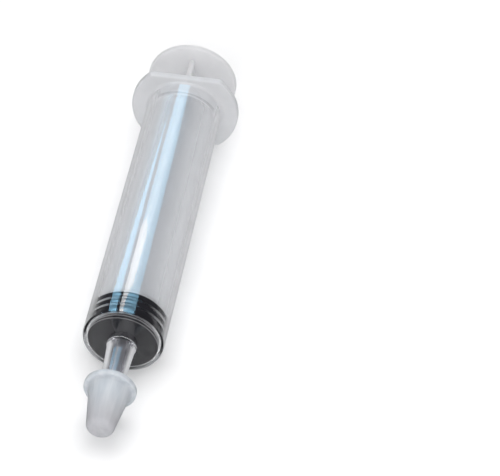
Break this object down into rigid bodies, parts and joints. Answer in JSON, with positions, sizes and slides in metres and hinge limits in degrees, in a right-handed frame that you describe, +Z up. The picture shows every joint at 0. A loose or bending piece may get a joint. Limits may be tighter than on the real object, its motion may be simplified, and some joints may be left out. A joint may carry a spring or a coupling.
{
  "type": "oral syringe",
  "caption": "Translucent oral medicine syringe with a round barrel, two-winged finger flange, rubber stopper, sliding plunger rod and push-on tip cap.",
  "frame": {"origin": "under the middle of the syringe's length, on the surface that the thumb disc touches", "axes": "Y runs along the syringe from the capped tip (-Y) to the thumb disc (+Y), X runs across the wings of the finger flange, +Z is up"},
  "size_m": [0.0246, 0.1094, 0.0206],
  "materials": {
    "clear_polypropylene": "translucent, glossy, very slightly frosted",
    "black_rubber": "smooth, slightly oily satin",
    "rod_polypropylene": "translucent, satin",
    "cap_polyethylene": "milky, soft satin"
  },
  "bodies": {
    "barrel": {"barrel": "clear_polypropylene"},
    "stopper": {"stopper": "black_rubber"},
    "rod": {"plunger_rod": "rod_polypropylene"},
    "cap": {"tip_cap": "cap_polyethylene"}
  },
  "joints": [
    {"name": "plunger_slide", "type": "slide", "parent": "barrel", "child": "stopper", "axis": [0, 1, 0], "range_m": [0, 0.0638]},
    {"name": "rod_turn", "type": "hinge", "parent": "stopper", "child": "rod", "pos_m": [0, -0.03095, 0.0103], "axis": [0, 1, 0], "continuous": true},
    {"name": "cap_pull", "type": "slide", "parent": "barrel", "child": "cap", "axis": [0, -1, 0], "range_m": [0, 0.02]}
  ]
}
